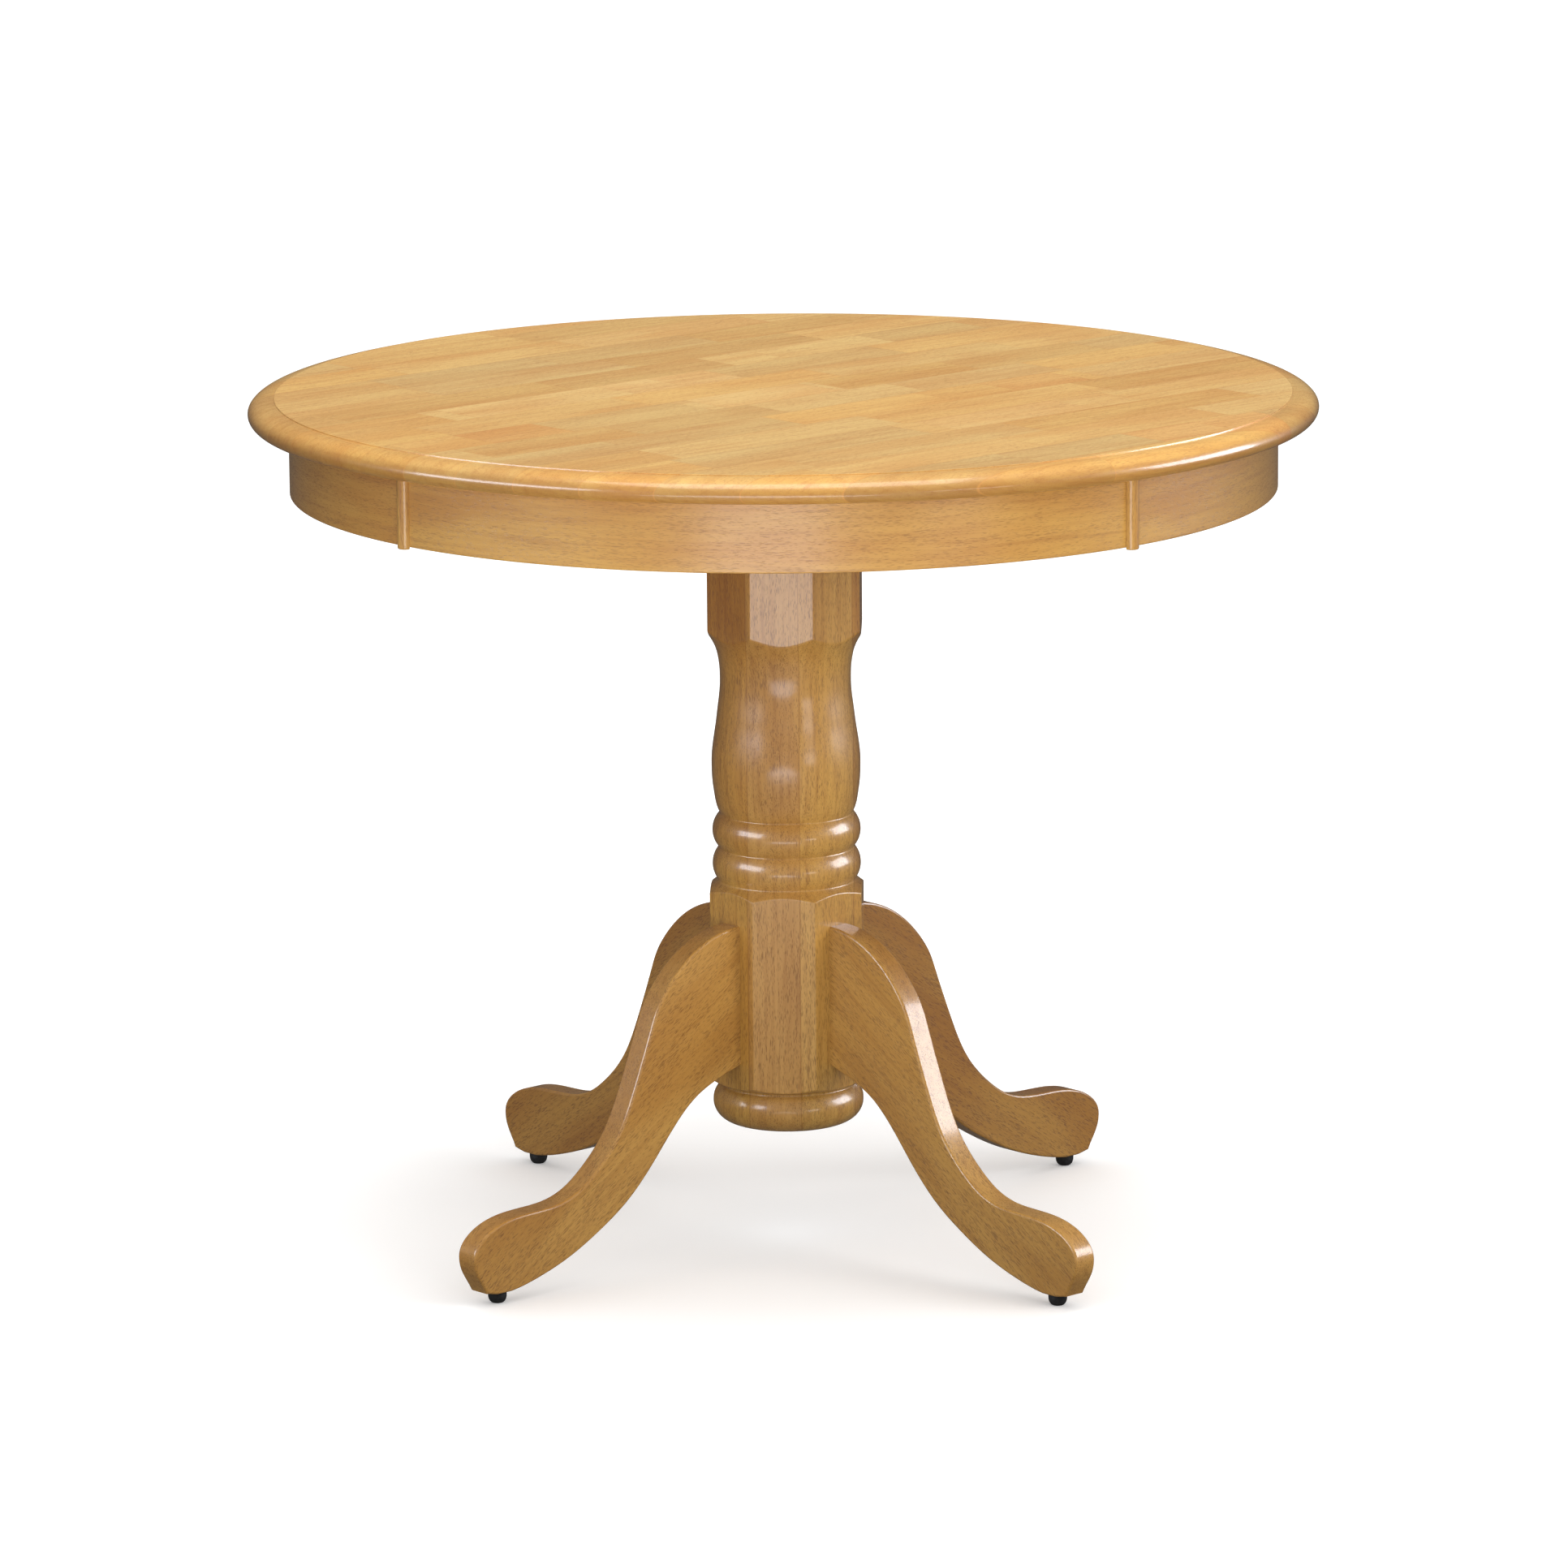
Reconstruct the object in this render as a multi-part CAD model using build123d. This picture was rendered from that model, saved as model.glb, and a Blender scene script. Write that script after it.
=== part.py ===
"""Round pedestal dining table: glued-up wooden top with a beaded apron, turned octagonal
column, four flat sawn legs on nail-on glides, and the hardware that holds it together.

Millimetres, +Z up, origin on the floor under the middle of the column. The front of the
table faces -Y and the legs stand on the diagonals.
"""
from build123d import *
import os
from math import cos, radians

# Whole table
TABLE_HEIGHT = 743.0
TOP_DIAMETER = 914.4
CORNERS = {"front_left": 225, "front_right": 315, "rear_right": 45, "rear_left": 135}
FIT_GAP = 0.05  # clearance all round a fastener in its hole

# Top
TOP_THICKNESS = 22.0
TOP_RADIUS = TOP_DIAMETER / 2
NOSE_WIDTH = 22.6  # from the quirk to the outermost point
QUIRK_DEPTH = 1.1  # small step where the moulded edge starts
NOSE_DROP = 13.5  # from the flat top to the outermost point
NOSE_UNDERCUT = 10.0  # the rounding under the outermost point
UNDERSIDE_Z = TABLE_HEIGHT - TOP_THICKNESS

# Apron ring, its beads and its glue blocks
APRON_RADIUS = 422.5
APRON_THICKNESS = 20.0
APRON_HEIGHT = 61.0
APRON_EDGE_ROUND = 1.5
BEAD_WIDTH = 12.5
BEAD_PROUD = 6.0
BEAD_OVERHANG = 1.8  # how far a bead hangs below the apron
BLOCK_WIDTH = 70.0
BLOCK_DEPTH = 26.0
BLOCK_HEIGHT = 48.0
BLOCK_CHAMFER = 6.0

# Cross rails under the top
RAIL_LENGTH = 640.0
RAIL_WIDTH = 70.0
RAIL_THICKNESS = 25.0
RAIL_END_CHAMFER = 14.0

# Column
COLUMN_ACROSS_FLATS = 131.0
COLUMN_TOP_Z = UNDERSIDE_Z - RAIL_THICKNESS
COLUMN_BOTTOM_Z = 102.0
BLANK_RADIUS = 76.0  # anything outside the octagon's corners
POCKET_ACROSS_FLATS = 66.0
POCKET_TOP_Z = 286.5

# Legs
LEG_THICKNESS = 22.0
LEG_EDGE_ROUND = 2.0
LEG_ROOT_TOP_Z = 284.5
LEG_ROOT_BOTTOM_Z = 162.0
TOE_PAD_Z = 10.0
TOE_PAD_INNER = 327.0
TOE_PAD_OUTER = 343.0
GLIDE_RADIUS_FROM_AXIS = 335.0

# Glides
GLIDE_RADIUS = 8.0
GLIDE_RIM_HEIGHT = 3.0
GLIDE_PAD_RADIUS = 3.6
NAIL_RADIUS = 1.25
NAIL_HEAD_RADIUS = 4.0
NAIL_HEAD_HEIGHT = 1.0
NAIL_HEAD_Z = 6.0
NAIL_TOP_Z = 25.5

# Leg fasteners: heights on the column's facet
HANGER_BOLT_ZS = (193.5, 253.5)
DOWEL_ZS = (174.5, 272.0)
BOLT_RADIUS = 4.0
BOLT_IN_LEG = 50.0
WASHER_RADIUS = 9.0
WASHER_THICKNESS = 1.6
NUT_ACROSS_FLATS = 13.0
NUT_HEIGHT = 6.5
BOLT_PAST_NUT = 2.5
DOWEL_RADIUS = 4.0
DOWEL_IN_LEG = 18.0
DOWEL_IN_COLUMN = 16.0

# Lag screws that hold the rails on the column
LAG_OFFSET = 47.5
LAG_RADIUS = 4.75
LAG_LENGTH = 85.0
LAG_HEAD_ACROSS_FLATS = 16.0
LAG_HEAD_HEIGHT = 6.0
LAG_WASHER_RADIUS = 10.5
LAG_WASHER_THICKNESS = 2.0
COUNTERBORE_RADIUS = 12.0
COUNTERBORE_DEPTH = 9.0

# Countersunk wood screws
SCREW_RADIUS = 2.25
SCREW_HEAD_RADIUS = 4.4
SCREW_TIP_LENGTH = 5.0
RAIL_SCREW_OFFSETS = (140.0, 265.0)
RAIL_SCREW_LENGTH = 36.0
BLOCK_SIDE_SCREW_OFFSET = 22.0
BLOCK_SIDE_SCREW_Z = 695.0
BLOCK_SIDE_SCREW_LENGTH = 38.0
BLOCK_TOP_SCREW_LENGTH = 58.0
BLOCK_TOP_SCREW_INSET = 12.0

APRON_BOTTOM_Z = UNDERSIDE_Z - APRON_HEIGHT
APRON_INNER_RADIUS = APRON_RADIUS - APRON_THICKNESS
BLOCK_BOTTOM_Z = UNDERSIDE_Z - BLOCK_HEIGHT
BLOCK_INNER_RADIUS = APRON_INNER_RADIUS - BLOCK_DEPTH
COLUMN_FACET = COLUMN_ACROSS_FLATS / 2
POCKET_FACET = POCKET_ACROSS_FLATS / 2


def octagon(across_flats):
    """Octagon with flats facing +-X, +-Y and the diagonals."""
    corner_radius = across_flats / 2 / cos(radians(22.5))
    return RegularPolygon(radius=corner_radius, side_count=8, rotation=22.5)


def turned(outline):
    """Solid turned about the table's axis from its closed half section, radius by height."""
    return revolve(Plane.XZ * make_face(outline), Axis.Z)


def at_corner(azimuth, shape):
    """Turn a shape modelled along +X to one of the diagonals."""
    return Rot(0, 0, azimuth) * shape


def outward(radius, z, offset, shape):
    """Put a shape modelled along +Z so that it points along +X from a point."""
    return Pos(radius, offset, z) * Rot(0, 90, 0) * shape


def rod(radius, length):
    """Cylinder from the origin up +Z."""
    return extrude(Circle(radius), length)


def hexagon_bar(across_flats, length):
    """Hexagonal bar from the origin up +Z, with a flat facing +Y."""
    return extrude(RegularPolygon(across_flats / 2, 6, major_radius=False), length)


def washer(outer_radius, hole_radius, thickness):
    """Flat washer from the origin up +Z."""
    return extrude(Circle(outer_radius) - Circle(hole_radius), thickness)


def screw(length, gap=0.0):
    """Countersunk wood screw from its head's flat at the origin up +Z to its tip."""
    head_depth = SCREW_HEAD_RADIUS - SCREW_RADIUS
    outline = Polyline(
        (0, 0),
        (SCREW_HEAD_RADIUS + gap, 0),
        (SCREW_RADIUS + gap, head_depth),
        (SCREW_RADIUS + gap, length - SCREW_TIP_LENGTH),
        (0, length + gap),
        close=True,
    )
    return turned(outline)


def rail_screws(gap=0.0):
    """Screws up through the cross rails into the top."""
    places = [
        Rot(0, 0, azimuth) * Pos(offset, 0, COLUMN_TOP_Z)
        for azimuth in CORNERS.values()
        for offset in RAIL_SCREW_OFFSETS
    ]
    return [place * screw(RAIL_SCREW_LENGTH, gap) for place in places]


def block_side_screws(azimuth, gap=0.0):
    """Screws outward through one glue block into the two apron segments that it joins."""
    return [
        at_corner(
            azimuth,
            outward(BLOCK_INNER_RADIUS, BLOCK_SIDE_SCREW_Z, side * BLOCK_SIDE_SCREW_OFFSET,
                    screw(BLOCK_SIDE_SCREW_LENGTH, gap)),
        )
        for side in (-1, 1)
    ]


def block_top_screw(azimuth, gap=0.0):
    """Screw up through one glue block into the top."""
    radius = BLOCK_INNER_RADIUS + BLOCK_TOP_SCREW_INSET
    place = Rot(0, 0, azimuth) * Pos(radius, 0, BLOCK_BOTTOM_Z)
    return place * screw(BLOCK_TOP_SCREW_LENGTH, gap)


def nose_outline():
    """Half section of the top, with its quirk and its rounded nose."""
    flat_radius = TOP_RADIUS - NOSE_WIDTH
    nose_z = TABLE_HEIGHT - NOSE_DROP
    under_radius = TOP_RADIUS - NOSE_UNDERCUT
    upper = EllipticalCenterArc(
        (flat_radius, nose_z), NOSE_WIDTH, NOSE_DROP - QUIRK_DEPTH, 0, arc_size=90
    )
    lower = EllipticalCenterArc(
        (under_radius, nose_z), NOSE_UNDERCUT, nose_z - UNDERSIDE_Z, 270, arc_size=90
    )
    flat = Polyline(
        (flat_radius, TABLE_HEIGHT - QUIRK_DEPTH),
        (flat_radius, TABLE_HEIGHT),
        (0, TABLE_HEIGHT),
        (0, UNDERSIDE_Z),
        (under_radius, UNDERSIDE_Z),
    )
    return upper + flat + lower


def tabletop():
    """Glued-up round panel with a moulded edge, drilled for the screws from below."""
    panel = turned(nose_outline())
    for hole in rail_screws(FIT_GAP):
        panel -= hole
    for azimuth in CORNERS.values():
        panel -= block_top_screw(azimuth, FIT_GAP)
    return panel


def apron_segment(middle_azimuth):
    """Quarter of the apron ring, sawn from solid and butted to its neighbours."""
    section = Pos(APRON_INNER_RADIUS, APRON_BOTTOM_Z) * Rectangle(
        APRON_THICKNESS, APRON_HEIGHT, align=(Align.MIN, Align.MIN)
    )
    lower_edges = section.vertices().group_by(Axis.Y)[0]
    section = Plane.XZ * fillet(lower_edges, APRON_EDGE_ROUND)
    segment = Rot(0, 0, middle_azimuth - 45) * revolve(section, Axis.Z, 90)
    for azimuth in (middle_azimuth - 45, middle_azimuth + 45):
        for hole in block_side_screws(azimuth, FIT_GAP):
            segment -= hole
    return segment


def apron_bead(azimuth):
    """Half-round bead planted over a joint of the apron."""
    height = APRON_HEIGHT + BEAD_OVERHANG
    section = Ellipse(BEAD_PROUD, BEAD_WIDTH / 2)
    strip = Pos(APRON_RADIUS, 0, UNDERSIDE_Z - height) * extrude(section, height)
    bottom = strip.faces().sort_by(Axis.Z)[0].edges()
    strip = fillet(bottom, APRON_EDGE_ROUND)
    core = Pos(0, 0, APRON_BOTTOM_Z - 2 * BEAD_OVERHANG) * rod(APRON_RADIUS, 2 * APRON_HEIGHT)
    return at_corner(azimuth, strip - core)


def apron_block(azimuth):
    """Glue block behind a joint of the apron, curved to fit it."""
    blank = Pos(BLOCK_INNER_RADIUS, 0, BLOCK_BOTTOM_Z) * Box(
        2 * BLOCK_DEPTH, BLOCK_WIDTH, BLOCK_HEIGHT, align=(Align.MIN, Align.CENTER, Align.MIN)
    )
    inner_edges = blank.edges().filter_by(Axis.Z).group_by(Axis.X)[0]
    blank = chamfer(inner_edges, BLOCK_CHAMFER)
    reach = Pos(0, 0, BLOCK_BOTTOM_Z) * rod(APRON_INNER_RADIUS, BLOCK_HEIGHT)
    block = at_corner(azimuth, blank & reach)
    for hole in [block_top_screw(azimuth, FIT_GAP), *block_side_screws(azimuth, FIT_GAP)]:
        block -= hole
    return block


def cross_rail(azimuth, notch_in_top):
    """Rail under the top, half lapped over the column with the other rail."""
    middle_z = UNDERSIDE_Z - RAIL_THICKNESS / 2
    rail = Pos(0, 0, middle_z) * Box(RAIL_LENGTH, RAIL_WIDTH, RAIL_THICKNESS)
    ends = rail.edges().filter_by(Axis.Y).group_by(Axis.Z)[0]
    rail = chamfer(ends, RAIL_END_CHAMFER)
    side = 1 if notch_in_top else -1
    notch = Pos(0, 0, middle_z + side * RAIL_THICKNESS / 4) * Box(
        RAIL_WIDTH, RAIL_WIDTH, RAIL_THICKNESS / 2
    )
    rail = at_corner(azimuth, rail - notch)
    for hole in rail_screws(FIT_GAP):
        rail -= hole
    bore = rod(LAG_RADIUS + FIT_GAP, RAIL_THICKNESS)
    seat = Pos(0, 0, RAIL_THICKNESS - COUNTERBORE_DEPTH) * rod(
        COUNTERBORE_RADIUS, COUNTERBORE_DEPTH
    )
    for place in lag_places(COLUMN_TOP_Z):
        rail -= place * (bore + seat)
    return rail


def lag_places(z):
    """Where the lag screws stand, at a given height."""
    return [Rot(0, 0, azimuth) * Pos(LAG_OFFSET, 0, z) for azimuth in CORNERS.values()]


def lag_screw():
    """Hexagon-headed lag screw from under its head at the origin down -Z."""
    return hexagon_bar(LAG_HEAD_ACROSS_FLATS, LAG_HEAD_HEIGHT) + Pos(0, 0, -LAG_LENGTH) * rod(
        LAG_RADIUS, LAG_LENGTH
    )


def column_outline():
    """Half section of the turned work on the octagonal blank, from the top down."""
    neck = Spline(
        (BLANK_RADIUS, 542.5), (66.5, 531.8), (60.3, 520.4), (57.2, 506.5), (56.5, 490.5),
        tangents=((-1, -1), (0, -1)),
    )
    rise = Spline(neck @ 1, (59.5, 460.5), (64.3, 419.5), tangents=((0, -1), (0, -1)))
    fall = Spline(rise @ 1, (62.9, 396.5), (57.4, 375), tangents=((0, -1), (-1, -1.6)))
    upper_bead = ThreePointArc(fall @ 1, (64.1, 360.5), (58.3, 344.9))
    lower_bead = ThreePointArc(upper_bead @ 1, (64.1, 331.5), (60.0, 317))
    shoulder = Polyline(
        lower_bead @ 1, (60.6, 315.8), (66.5, 311.1), (BLANK_RADIUS, 304.5), (BLANK_RADIUS, 146),
        (66.0, 139.7), (61.5, 138.3), (58.0, 136.9), (58.0, 134.9),
    )
    base_bead = ThreePointArc(shoulder @ 1, (65.3, 119), (48.0, COLUMN_BOTTOM_Z))
    core = Polyline(
        base_bead @ 1, (0, COLUMN_BOTTOM_Z), (0, COLUMN_TOP_Z), (BLANK_RADIUS, COLUMN_TOP_Z),
        neck @ 0,
    )
    return neck + rise + fall + upper_bead + lower_bead + shoulder + base_bead + core


def pedestal_column():
    """Octagonal column with turned neck, beads and base, pocketed from below for the nuts."""
    length = COLUMN_TOP_Z - COLUMN_BOTTOM_Z
    blank = Pos(0, 0, COLUMN_BOTTOM_Z) * extrude(octagon(COLUMN_ACROSS_FLATS), length)
    column = blank & turned(column_outline())
    pocket_depth = POCKET_TOP_Z - COLUMN_BOTTOM_Z
    column -= Pos(0, 0, COLUMN_BOTTOM_Z) * extrude(octagon(POCKET_ACROSS_FLATS), pocket_depth)
    for place in lag_places(COLUMN_TOP_Z):
        column -= place * Pos(0, 0, -LAG_LENGTH) * rod(LAG_RADIUS + FIT_GAP, LAG_LENGTH)
    for azimuth in CORNERS.values():
        column -= leg_bores(azimuth)
    return column


def leg_bores(azimuth):
    """Holes across the butt joint of one leg, for its hanger bolts and dowels."""
    bolt = rod(BOLT_RADIUS + FIT_GAP, COLUMN_FACET - POCKET_FACET + BOLT_IN_LEG + FIT_GAP)
    dowel = rod(DOWEL_RADIUS + FIT_GAP, DOWEL_IN_COLUMN + DOWEL_IN_LEG + 2 * FIT_GAP)
    bores = [outward(POCKET_FACET, z, 0, bolt) for z in HANGER_BOLT_ZS]
    start = COLUMN_FACET - DOWEL_IN_COLUMN - FIT_GAP
    bores += [outward(start, z, 0, dowel) for z in DOWEL_ZS]
    return [at_corner(azimuth, bore) for bore in bores]


def leg_outline():
    """Side view of a leg: an ogee from the column's facet to a rounded toe on a flat pad."""
    steep, flatter, down = (0.37, -0.93), (1, -0.2), (0, -1)
    shoulder = Spline(
        (COLUMN_FACET, LEG_ROOT_TOP_Z), (98, 278.9), (134, 257.7), (159, 228), (172, 197),
        tangents=((1, -0.02), steep),
    )
    hollow = Spline(
        shoulder @ 1, (187, 160.5), (207, 122.5), (236, 93.5), (272, 76.5), tangents=(steep, flatter)
    )
    hump = Spline(
        hollow @ 1, (306, 74.3), (337, 70.8), (359, 60.5), (368.5, 43.5), tangents=(flatter, down)
    )
    tip = Spline(hump @ 1, (364.5, 28.5), (355, 12.5), tangents=(down, (-0.5, -1)))
    pad = Polyline(tip @ 1, (TOE_PAD_OUTER, TOE_PAD_Z), (TOE_PAD_INNER, TOE_PAD_Z))
    belly = Spline(
        pad @ 1, (296, 16.4), (262, 27.7), (228, 44.4), (198, 63.3), (165, 94.3), (138, 124.1),
        (112, 144.7), (89, 154.5), (COLUMN_FACET, LEG_ROOT_BOTTOM_Z),
        tangents=((-1, 0.12), (-1, 0.32)),
    )
    root = Line(belly @ 1, shoulder @ 0)
    return shoulder + hollow + hump + tip + pad + belly + root


def leg(azimuth):
    """Flat sawn leg with eased edges, butted on a diagonal facet of the column."""
    blank = extrude(Plane.XZ * make_face(leg_outline()), LEG_THICKNESS)
    blank = Pos(0, LEG_THICKNESS / 2, 0) * blank
    side_edges = blank.edges().filter_by(Plane.XZ)
    eased = [edge for edge in side_edges if edge.center().X > COLUMN_FACET + LEG_EDGE_ROUND]
    body = at_corner(azimuth, fillet(eased, LEG_EDGE_ROUND))
    body -= leg_bores(azimuth)
    nail_bore = rod(NAIL_RADIUS + FIT_GAP, NAIL_TOP_Z - TOE_PAD_Z + FIT_GAP)
    return body - at_corner(azimuth, Pos(GLIDE_RADIUS_FROM_AXIS, 0, TOE_PAD_Z) * nail_bore)


def glide_nail(gap=0.0):
    """Steel nail moulded into a glide."""
    head = Pos(0, 0, NAIL_HEAD_Z - gap) * rod(NAIL_HEAD_RADIUS + gap, NAIL_HEAD_HEIGHT + 2 * gap)
    shank = Pos(0, 0, NAIL_HEAD_Z) * rod(NAIL_RADIUS + gap, NAIL_TOP_Z - NAIL_HEAD_Z)
    return head + shank


def glide():
    """Domed plastic glide with a small flat pad on the floor."""
    rim_z = TOE_PAD_Z - GLIDE_RIM_HEIGHT
    dome = EllipticalCenterArc(
        (GLIDE_PAD_RADIUS, rim_z), GLIDE_RADIUS - GLIDE_PAD_RADIUS, rim_z, 270, arc_size=90
    )
    rest = Polyline(
        (GLIDE_RADIUS, rim_z), (GLIDE_RADIUS, TOE_PAD_Z), (0, TOE_PAD_Z), (0, 0), (GLIDE_PAD_RADIUS, 0)
    )
    return turned(dome + rest) - glide_nail(FIT_GAP)


def hanger_bolts(azimuth):
    """Bolts from one leg through the column's wall into the pocket."""
    inner_end = POCKET_FACET - WASHER_THICKNESS - NUT_HEIGHT - BOLT_PAST_NUT
    bolt = rod(BOLT_RADIUS, COLUMN_FACET + BOLT_IN_LEG - inner_end)
    return [at_corner(azimuth, outward(inner_end, z, 0, bolt)) for z in HANGER_BOLT_ZS]


def leg_washers(azimuth):
    """Washers on one leg's bolts, flat on the pocket's wall."""
    ring = washer(WASHER_RADIUS, BOLT_RADIUS + FIT_GAP, WASHER_THICKNESS)
    radius = POCKET_FACET - WASHER_THICKNESS
    return [at_corner(azimuth, outward(radius, z, 0, ring)) for z in HANGER_BOLT_ZS]


def leg_nuts(azimuth):
    """Hexagon nuts on one leg's bolts."""
    nut = hexagon_bar(NUT_ACROSS_FLATS, NUT_HEIGHT) - rod(BOLT_RADIUS + FIT_GAP, NUT_HEIGHT)
    radius = POCKET_FACET - WASHER_THICKNESS - NUT_HEIGHT
    return [at_corner(azimuth, outward(radius, z, 0, nut)) for z in HANGER_BOLT_ZS]


def leg_dowels(azimuth):
    """Dowels that keep one leg from turning on its bolts."""
    dowel = rod(DOWEL_RADIUS, DOWEL_IN_COLUMN + DOWEL_IN_LEG)
    start = COLUMN_FACET - DOWEL_IN_COLUMN
    return [at_corner(azimuth, outward(start, z, 0, dowel)) for z in DOWEL_ZS]


def build_nodes():
    """Every node's shape by name; a list is a group of separate solids."""
    seat_z = UNDERSIDE_Z - COUNTERBORE_DEPTH
    lag_washer = washer(LAG_WASHER_RADIUS, LAG_RADIUS + FIT_GAP, LAG_WASHER_THICKNESS)
    nodes = {
        "tabletop": tabletop(),
        "cross_rail_lower": cross_rail(CORNERS["rear_right"], notch_in_top=True),
        "cross_rail_upper": cross_rail(CORNERS["rear_left"], notch_in_top=False),
        "pedestal_column": pedestal_column(),
        "rail_to_top_screws": rail_screws(),
        "column_lag_washers": [place * lag_washer for place in lag_places(seat_z)],
        "column_lag_screws": [
            place * lag_screw() for place in lag_places(seat_z + LAG_WASHER_THICKNESS)
        ],
    }
    for side, azimuth in {"front": 270, "right": 0, "rear": 90, "left": 180}.items():
        nodes["apron_" + side] = apron_segment(azimuth)
    groups = {
        "apron_block_side_screws": block_side_screws,
        "leg_hanger_bolts": hanger_bolts,
        "leg_bolt_washers": leg_washers,
        "leg_bolt_nuts": leg_nuts,
        "leg_dowels": leg_dowels,
    }
    for name, make in groups.items():
        nodes[name] = [solid for azimuth in CORNERS.values() for solid in make(azimuth)]
    nodes["apron_block_top_screws"] = [block_top_screw(azimuth) for azimuth in CORNERS.values()]
    nodes["glide_nails"] = []
    for corner, azimuth in CORNERS.items():
        nodes["apron_bead_" + corner] = apron_bead(azimuth)
        nodes["apron_block_" + corner] = apron_block(azimuth)
        nodes["leg_" + corner] = leg(azimuth)
        toe = Pos(GLIDE_RADIUS_FROM_AXIS, 0, 0)
        nodes["glide_" + corner] = at_corner(azimuth, toe * glide())
        nodes["glide_nails"].append(at_corner(azimuth, toe * glide_nail()))
    return nodes


def main():
    os.makedirs("parts", exist_ok=True)
    for name, shape in build_nodes().items():
        if isinstance(shape, list):
            shape = Compound(children=[Solid(piece.solids()[0].wrapped) for piece in shape])
        export_step(shape, "parts/" + name + ".step")


main()
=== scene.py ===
from math import atan2, ceil, cos, pi, radians, sin, sqrt

import bmesh
import bpy
from mathutils import Matrix, Vector


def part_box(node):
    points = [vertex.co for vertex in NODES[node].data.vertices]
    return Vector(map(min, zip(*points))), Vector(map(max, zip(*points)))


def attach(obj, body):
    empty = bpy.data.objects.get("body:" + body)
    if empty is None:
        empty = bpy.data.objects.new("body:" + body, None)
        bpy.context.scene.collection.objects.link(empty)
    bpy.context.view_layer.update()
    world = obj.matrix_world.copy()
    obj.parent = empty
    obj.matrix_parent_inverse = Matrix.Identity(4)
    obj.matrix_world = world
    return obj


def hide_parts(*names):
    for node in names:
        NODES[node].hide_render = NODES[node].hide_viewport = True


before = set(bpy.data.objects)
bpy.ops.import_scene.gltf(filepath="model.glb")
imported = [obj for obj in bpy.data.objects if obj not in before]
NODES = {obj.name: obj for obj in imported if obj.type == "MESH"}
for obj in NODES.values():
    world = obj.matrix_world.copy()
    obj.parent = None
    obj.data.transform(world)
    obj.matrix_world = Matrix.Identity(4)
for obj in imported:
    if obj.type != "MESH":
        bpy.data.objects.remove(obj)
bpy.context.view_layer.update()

CORNERS = {"front_left": 225, "front_right": 315, "rear_right": 45, "rear_left": 135}
SIDES = {"front": 270, "right": 0, "rear": 90, "left": 180}
TOP_LOW, TOP_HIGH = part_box("tabletop")
COLUMN_LOW, COLUMN_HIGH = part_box("pedestal_column")
TOP_RADIUS = min(TOP_HIGH.x, TOP_HIGH.y, -TOP_LOW.x, -TOP_LOW.y)
APRON_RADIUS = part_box("apron_right")[1].x
GRAIN_AZIMUTH = 45  # the top's staves run this way

# the top, in metres
NOSE_WIDTH = 0.0226  # from the quirk round the flat to the widest point
NOSE_DROP = 0.0135  # from the flat to the widest point
STAVE_WIDTH = 0.0548
FIRST_JOINT = 0.0158  # where one joint between staves lies beside the middle

# the column, in millimetres, like its outline
ACROSS_FLATS = 131.0
BLANK_RADIUS = 76.0  # past the octagon's corners, where nothing is turned
POCKET_HALF_WIDTH = 33.0
POCKET_TOP = 286.5


# ---------------------------------------------------------------- node helpers

def put(tree, kind, inputs=None, **settings):
    """Adds a node; an input is a value or the socket that feeds it."""
    node = tree.nodes.new(kind)
    for key, value in settings.items():
        setattr(node, key, value)
    for key, value in (inputs or {}).items():
        if isinstance(value, bpy.types.NodeSocket):
            tree.links.new(value, node.inputs[key])
        else:
            node.inputs[key].default_value = value
    return node


def calc(tree, operation, *values):
    """One arithmetic step."""
    inputs = {i: value for i, value in enumerate(values)}
    return put(tree, "ShaderNodeMath", inputs, operation=operation).outputs[0]


def ramp(tree, value, low, high, start=0.0, end=1.0):
    """Smooth step of a value from start to end as it goes from low to high."""
    node = put(tree, "ShaderNodeMapRange", {"Value": value, "From Min": low, "From Max": high,
               "To Min": start, "To Max": end}, interpolation_type="SMOOTHSTEP")
    return node.outputs["Result"]


def blend(tree, factor, first, second, mode="MIX"):
    """Colour mix."""
    node = put(tree, "ShaderNodeMix", data_type="RGBA", blend_type=mode)
    for socket, value in ((node.inputs[0], factor), (node.inputs[6], first), (node.inputs[7], second)):
        if isinstance(value, bpy.types.NodeSocket):
            tree.links.new(value, socket)
        else:
            socket.default_value = value
    return node.outputs[2]


def scaled(tree, vector, x, y, z):
    """Coordinates, each scaled by its own factor."""
    return put(tree, "ShaderNodeMapping", {"Vector": vector, "Scale": (x, y, z)}).outputs[0]


def stretched(tree, vector, along, across):
    """Coordinates scaled along the grain and across it."""
    return scaled(tree, vector, along, across, across)


def span(tree, a, b):
    """Distance from the origin of a pair of coordinates."""
    squares = calc(tree, "ADD", calc(tree, "MULTIPLY", a, a), calc(tree, "MULTIPLY", b, b))
    return calc(tree, "SQRT", squares)


def random_colour(tree, value):
    """Three random numbers, from 0 to 1, that depend on a value alone."""
    white = put(tree, "ShaderNodeTexWhiteNoise", {"W": value}, noise_dimensions="1D")
    return put(tree, "ShaderNodeSeparateColor", {0: white.outputs["Color"]}).outputs


def noise(tree, vector, detail=3.0, roughness=0.5, distortion=0.0):
    """Noise of unit scale at the given coordinates."""
    node = put(tree, "ShaderNodeTexNoise", {"Vector": vector, "Scale": 1.0, "Detail": detail,
               "Roughness": roughness, "Distortion": distortion})
    return node.outputs[0]


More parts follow.
